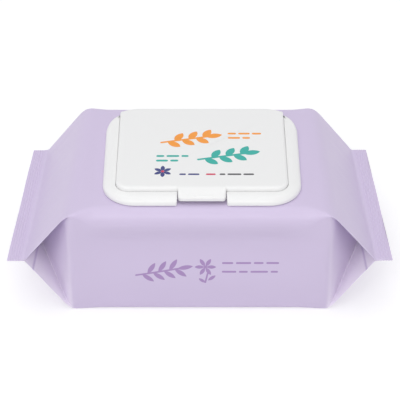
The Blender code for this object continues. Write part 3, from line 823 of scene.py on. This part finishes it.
def make_film_pack(finish):
    x = stations()
    front, crease_highlight, through = half_sections(x, FRONT_EDGE_RADIUS)
    back, _, _ = half_sections(x, BACK_EDGE_RADIUS)
    loop = np.concatenate([front, back[:, -2:0:-1] * (-1, 1)], axis=1)
    half = np.concatenate([np.broadcast_to(x[:, None, None], loop.shape[:2] + (1,)), loop], axis=2)
    rings = np.concatenate([half[:0:-1] * (-1, 1, 1), half])
    rings = settle(rings)
    pack = surface("lavender_film_pack", rings, finish, smooth_angle=60.0)
    # the painted highlight and the painted light are written to the mesh for the film's colour
    for name, values in (("crease_highlight", crease_highlight), ("painted_light_through", through)):
        values = np.concatenate([values, values[:, -2:0:-1]], axis=1)
        values = np.concatenate([values[:0:-1], values])
        mark(pack, name, rings.reshape(-1, 3), values.reshape(-1))
    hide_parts("film_pack")
    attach(pack, "pack")


def mark(obj, name, points, values):
    """Writes the value of each grid point to the mesh vertex that lies on it."""
    mesh = obj.data
    places = np.empty(len(mesh.vertices) * 3)
    mesh.vertices.foreach_get("co", places)
    keys = np.round(np.vstack([points, places.reshape(-1, 3)]) * 1e5).astype(np.int64)
    _, same = np.unique(keys, axis=0, return_inverse=True)
    same = same.reshape(-1)
    strongest = np.zeros(same.max() + 1)
    np.maximum.at(strongest, same[:len(points)], values)
    attribute = mesh.attributes.new(name, "FLOAT", "POINT")
    attribute.data.foreach_set("value", strongest[same[len(points):]].astype(np.float32))


# The cap


def outline(corners, arc_steps=18, side_steps=(36, 30, 40, 30)):
    """Round corners (x, y, radius, start, end) joined by straight sides, as an array of points."""
    arcs = []
    for x, y, radius, start, end in corners:
        angle = np.radians(np.linspace(start, end, arc_steps + 1))
        arcs.append(np.column_stack([x + radius * np.cos(angle), y + radius * np.sin(angle)]))
    runs = []
    for arc, following, steps in zip(arcs, arcs[1:] + arcs[:1], side_steps):
        share = np.linspace(0, 1, steps + 1)[1:-1, None]
        runs += [arc, arc[-1] + share * (following[0] - arc[-1])]
    return np.vstack(runs)


def four_corners(front_half, front, front_radius, rear_x, rear_y, rear_radius, meet=0.0):
    x = front_half - front_radius
    y = front + front_radius
    return outline([
        (-x, y, front_radius, 180, 270), (x, y, front_radius, 270, 360),
        (rear_x, rear_y, rear_radius, meet, 90), (-rear_x, rear_y, rear_radius, 90, 180 - meet),
    ])


CAP_CORNER_X = CAP_REAR_WIDTH / 2 - CAP_REAR_RADIUS
CAP_CORNER_Y = CAP_REAR - CAP_REAR_RADIUS


def cap_plan():
    return four_corners(CAP_FRONT_WIDTH / 2, CAP_FRONT, CAP_FRONT_RADIUS, CAP_CORNER_X, CAP_CORNER_Y,
                        CAP_REAR_RADIUS)


def shut_plan(grow, wall):
    """The well's outline, grown on its front and sides, with rear corners that follow the cap's."""
    radius = CAP_REAR_RADIUS - wall
    meet = math.degrees(math.acos((RECESS_REAR_WIDTH / 2 + grow - CAP_CORNER_X) / radius))
    return four_corners(RECESS_FRONT_WIDTH / 2 + grow, RECESS_FRONT - grow, RECESS_RADIUS + grow,
                        CAP_CORNER_X, CAP_CORNER_Y, radius, meet)


def recess_plan(grow):
    return shut_plan(grow, WALL - grow)


def aperture_plan(grow):
    radius = APERTURE_RADIUS + grow
    x = APERTURE_WIDTH / 2 + grow - radius
    y = APERTURE_DEPTH / 2 + grow - radius
    return four_corners(APERTURE_WIDTH / 2 + grow, -APERTURE_DEPTH / 2 - grow, radius, x, y, radius)


def inset(points, distance):
    """The outline moved inwards by a distance, or by one distance for each point."""
    along = np.roll(points, -1, axis=0) - np.roll(points, 1, axis=0)
    along /= np.linalg.norm(along, axis=1)[:, None]
    inwards = np.stack([-along[:, 1], along[:, 0]], axis=1)
    return points + inwards * np.broadcast_to(distance, len(points))[:, None]


def ring_at(points, height):
    """The outline at a height, moved to where the cap is glued."""
    return np.column_stack([points + CAP_PLACE, np.broadcast_to(height, len(points))])


def between(first, second, steps):
    """Rings spaced evenly from the first to the second, with neither of them."""
    share = np.linspace(0, 1, steps + 1)[1:-1, None, None]
    return list(first + share * (second - first))


def rolled(plan, height, radius, start, end, grow_sign=1.0, steps=5):
    """Rings round a quarter or half turn of an edge.

    plan(g) gives the outline grown by g. At angle a the ring is grown by radius * cos(a) and lifted
    by radius * sin(a) from the edge's middle, which lies at plan(0) and the height.
    """
    angles = np.radians(np.linspace(start, end, steps + 1))
    return [ring_at(plan(grow_sign * radius * math.cos(a)), height + radius * math.sin(a)) for a in angles]


def dome_share(points):
    """1 along the front and sides, falling to REAR_DOME_SHARE along the hinge side."""
    rear = smooth((points[:, 1] - CAP_REAR + REAR_BLEND_START) / REAR_BLEND_RUN)
    return 1 - (1 - REAR_DOME_SHARE) * rear


def make_cap_base(finish):
    """A closed profile carried round the cap: collar, floor, well wall, rim dome and underside."""
    collar_top = FLOOR_TOP + COLLAR_HEIGHT
    half_wall = WALL / 2
    rings = [ring_at(aperture_plan(0.0), SEAT)]
    collar = lambda g: aperture_plan(half_wall + g)
    rings += rolled(collar, collar_top - half_wall, half_wall, 180, 0, steps=10)
    fillet = 0.0006
    rings += rolled(lambda g: aperture_plan(WALL + fillet + g), FLOOR_TOP + fillet, fillet, 180, 270, steps=4)
    well = rolled(lambda g: recess_plan(-fillet + g), FLOOR_TOP + fillet, fillet, 270, 360, steps=4)
    rings += between(rings[-1], well[0], 6) + well
    rings += rolled(lambda g: recess_plan(SMALL_EDGE + g), RIM_TOP - SMALL_EDGE, SMALL_EDGE, 180, 90, steps=4)

    edge = cap_plan()
    share = dome_share(edge)
    foot = SEAT + RIM_FOOT
    dome = []
    for angle in np.radians(np.linspace(90, 0, 17)):
        run = RIM_DOME * (1 - math.cos(angle))
        dome.append(ring_at(inset(edge, run * share), foot + (RIM_TOP - foot) * math.sin(angle)))
    rings += between(rings[-1], dome[0], 3) + dome
    rings += [ring_at(edge, SEAT + 0.00025), ring_at(inset(edge, 0.00025), SEAT)]
    rings += between(rings[-1], rings[0], 5)
    base = surface("cap_frame", rings, finish, ends="loop")
    combined(base, notch_cutter(), "DIFFERENCE", finish)
    combined(base, wall_cutter(), "DIFFERENCE", finish)
    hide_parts("cap_base")
    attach(base, "pack")


def prism(name, points, low, high):
    points = np.asarray(points)
    return surface(name, [ring_at(points, low), ring_at(points, high)], None)


def notch_cutter():
    """The finger notch's plan, with rounded corners where it opens at the cap's front edge."""
    outside = NOTCH_HALF_WIDTH + NOTCH_RADIUS
    angle = np.radians(np.linspace(270, 180, 9))
    right = np.column_stack([outside + NOTCH_RADIUS * np.cos(angle),
                             CAP_FRONT + NOTCH_RADIUS + NOTCH_RADIUS * np.sin(angle)])
    right = np.vstack([(outside, CAP_FRONT - 0.002), right, (NOTCH_HALF_WIDTH, RECESS_FRONT - WALL)])
    return prism("finger_notch", np.vstack([right, right[::-1] * (-1, 1)]), SEAT - 0.002, RIM_TOP + 0.002)


def wall_cutter():
    """Lowers the well's front wall under the tab."""
    front, rear = RECESS_FRONT - 2 * WALL, RECESS_FRONT + WALL
    half = NOTCH_HALF_WIDTH
    plan = [(-half, front), (half, front), (half, rear), (-half, rear)]
    return prism("tab_relief", plan, RIM_TOP - NOTCH_WALL_DROP, RIM_TOP + 0.002)


def make_cap_cover(finish):
    """Rings from the middle of the cover's top out over its shoulder, down, under and back in."""
    edge = shut_plan(-COVER_CLEARANCE, 0.0)
    under = RIM_TOP + COVER_LIFT
    shoulder = under + COVER_BAND
    rim_height = COVER_TOP - COVER_CROWN
    rings = []
    rim = inset(edge, COVER_SHOULDER)
    for share in np.linspace(0, 1, 15)[1:-1]:
        rings.append(ring_at(rim * share, COVER_TOP - COVER_CROWN * share**2))
    for angle in np.radians(np.linspace(90, 0, 15)):
        run = COVER_SHOULDER * (1 - math.cos(angle))
        rings.append(ring_at(inset(edge, run), shoulder + (rim_height - shoulder) * math.sin(angle)))
    rings.append(ring_at(edge, under))

    skirt = lambda g: recess_plan(-COVER_CLEARANCE - SMALL_EDGE + g)
    foot = RIM_TOP - SKIRT_DEPTH
    rings.append(ring_at(skirt(SMALL_EDGE), under))
    rings += rolled(skirt, foot + SMALL_EDGE, SMALL_EDGE, 0, -90, steps=4)
    inner = lambda g: recess_plan(-COVER_CLEARANCE - WALL + SMALL_EDGE + g)
    rings += rolled(inner, foot + SMALL_EDGE, SMALL_EDGE, -90, -180, steps=4)
    roof = COVER_TOP - ROOF
    rings += rolled(lambda g: recess_plan(-COVER_CLEARANCE - 2 * WALL + g), roof - WALL, WALL, 0, 90, steps=6)

    plug = aperture_plan(-PLUG_CLEARANCE)
    half = PLUG_WALL / 2
    rings += between(rings[-1], ring_at(plug, roof), 4) + [ring_at(plug, roof)]
    middle = lambda g: aperture_plan(-PLUG_CLEARANCE - half + g)
    rings += rolled(middle, RIM_TOP - PLUG_DEPTH + half, half, 0, -180, steps=10)
    inside = aperture_plan(-PLUG_CLEARANCE - PLUG_WALL)
    for share in np.linspace(1, 0, 9)[:-1]:
        rings.append(ring_at(inside * share, roof))
    cover = surface("cap_lid", rings, finish)
    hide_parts("cap_cover")
    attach(cover, "cover")
    tab = make_tab(finish)
    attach(tab, "cover")


def make_tab(finish):
    """The lifting tab: a closed profile in (y, z), carried across x and drawn in at its sides.

    The profile runs level off the cover's top, falls in a soft S to the tab's front, turns down the
    lip and comes back underneath. The front draws back at the corners of the plan, a low ridge
    with tapered ends stands on the top, and the side edges are rolled.
    """
    start = RECESS_FRONT + COVER_CLEARANCE + COVER_SHOULDER / 2
    level = COVER_TOP - COVER_CROWN - 0.00001
    back = start + 0.0022
    run = np.linspace(0, 1, 41)[:, None]
    top_y = start - run * (TAB_REACH - TAB_EDGE)
    fall = TAB_DROP * (0.35 * run + 0.65 * run**1.4)
    lip = np.radians(np.linspace(80, 0, 8))[:, None]
    lip_y = start - TAB_REACH + TAB_EDGE - TAB_EDGE * np.cos(lip)
    lip_z = level - TAB_DROP - TAB_EDGE + TAB_EDGE * np.sin(lip)
    foot = COVER_TOP - TAB_LIP
    hook = [(start - TAB_REACH, foot + 0.0003), (start - TAB_REACH + 0.0003, foot),
            (start - TAB_REACH + WALL - 0.0003, foot), (start - TAB_REACH + WALL, foot + 0.0003),
            (start - TAB_REACH + WALL, COVER_TOP - TAB_DROP - ROOF - 0.0006),
            (start - TAB_REACH + WALL + 0.0006, COVER_TOP - TAB_DROP - ROOF),
            (start, COVER_TOP - ROOF), (back, COVER_TOP - ROOF)]
    profile = np.vstack([np.array([(back, level)]), np.hstack([top_y, level - fall]),
                         np.hstack([lip_y, lip_z]), np.array(hook)])

    edge = 0.0004
    roll = np.radians(np.linspace(90, 0, 6))
    inner = np.linspace(TAB_HALF_WIDTH - edge, 0, 46)[1:]
    sides = np.concatenate([TAB_HALF_WIDTH - edge + edge * np.sin(roll), inner])
    draw = np.concatenate([edge * (1 - np.cos(roll)), np.zeros(45)])
    sides = np.concatenate([sides, -sides[-2::-1]])
    draw = np.concatenate([draw, draw[-2::-1]])
    corner = np.clip(np.abs(sides) - TAB_HALF_WIDTH + TAB_RADIUS, 0, TAB_RADIUS)
    back_off = TAB_RADIUS - np.sqrt(TAB_RADIUS**2 - corner**2)

    rings = []
    for x, drawn, off in zip(sides, draw, back_off):
        line = inset(profile, drawn)
        y, z = line[:, 0].copy(), line[:, 1].copy()
        ahead = np.clip((start - y) / TAB_REACH, 0, 1)
        top_side = np.arange(len(y)) < 50
        ridge = np.clip(1 - ((y - start + TAB_REACH - GRIP_SETBACK) / GRIP_RADIUS) ** 2, 0, 1)
        taper = smooth((GRIP_HALF_LENGTH - abs(x)) / 0.0022)
        z += GRIP_RADIUS * 0.75 * ridge * taper * top_side
        y += off * smooth(ahead / 0.9)
        rings.append(np.column_stack([np.full(len(y), x + CAP_PLACE[0]), y + CAP_PLACE[1], z]))
    return surface("lifting_tab", rings, finish)


def make_hinge_web(finish):
    """The thin strip that bends between the two halves of the moulded hinge."""
    thick = 0.00035
    y = HINGE_Y + CAP_PLACE[1] - 0.00025
    height = np.linspace(-0.0011, 0.0011, 15)
    bow = 0.00012 * np.cos(np.pi * height / 0.0022)
    outer = np.column_stack([y + thick / 2 - bow, HINGE_Z + height])
    inner = np.column_stack([y - thick / 2 - bow, HINGE_Z + height])[::-1]
    section = np.vstack([outer, inner])
    along = np.linspace(-HINGE_HALF_WIDTH, HINGE_HALF_WIDTH, 41) + CAP_PLACE[0]
    rings = [np.column_stack([np.full(len(section), x), section]) for x in along]
    web = surface("hinge_web", rings, finish)
    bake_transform(web)


# The peel seal


def make_peel_seal(finish):
    """An oval with a pull tongue on its right, as a thin slab with rolled edges."""
    oval = four_corners(PEEL_HALF_WIDTH, -PEEL_HALF_DEPTH, PEEL_RADIUS, PEEL_HALF_WIDTH - PEEL_RADIUS,
                        PEEL_HALF_DEPTH - PEEL_RADIUS, PEEL_RADIUS)
    tongue = smooth((PULL_HALF_WIDTH + 0.0016 - np.abs(oval[:, 1])) / 0.0030) * (oval[:, 0] > 0)
    oval[:, 0] += (PULL_END - oval[:, 0]) * tongue
    middle = (PEEL_BOTTOM + PEEL_TOP) / 2
    half = (PEEL_TOP - PEEL_BOTTOM) / 2
    rings = []
    for share in (0.25, 0.5, 0.75, 0.9):
        rings.append(ring_at(inset(oval, half) * share, PEEL_TOP))
    for angle in np.radians(np.linspace(90, -90, 9)):
        rings.append(ring_at(inset(oval, half - half * math.cos(angle)), middle + half * math.sin(angle)))
    for share in (0.9, 0.6, 0.3):
        rings.append(ring_at(inset(oval, half) * share, PEEL_BOTTOM))
    seal = surface("peel_seal_film", rings, finish)
    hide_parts("peel_seal")
    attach(seal, "pack")


bpy.context.scene.view_settings.view_transform = "Standard"
BAR = make_bar_group()
LEAF = make_leaf_group()
FILM = make_film_group()
PLASTIC = make_plastic_group()

make_camera()
make_world()
make_floor()
make_lamps()
make_film_pack(film_finish())
make_cap_base(cap_finish("white_cap_plastic"))
make_cap_cover(cap_finish("white_lid_plastic", with_print=True))
make_hinge_web(cap_finish("white_hinge_plastic"))
make_peel_seal(peel_finish())
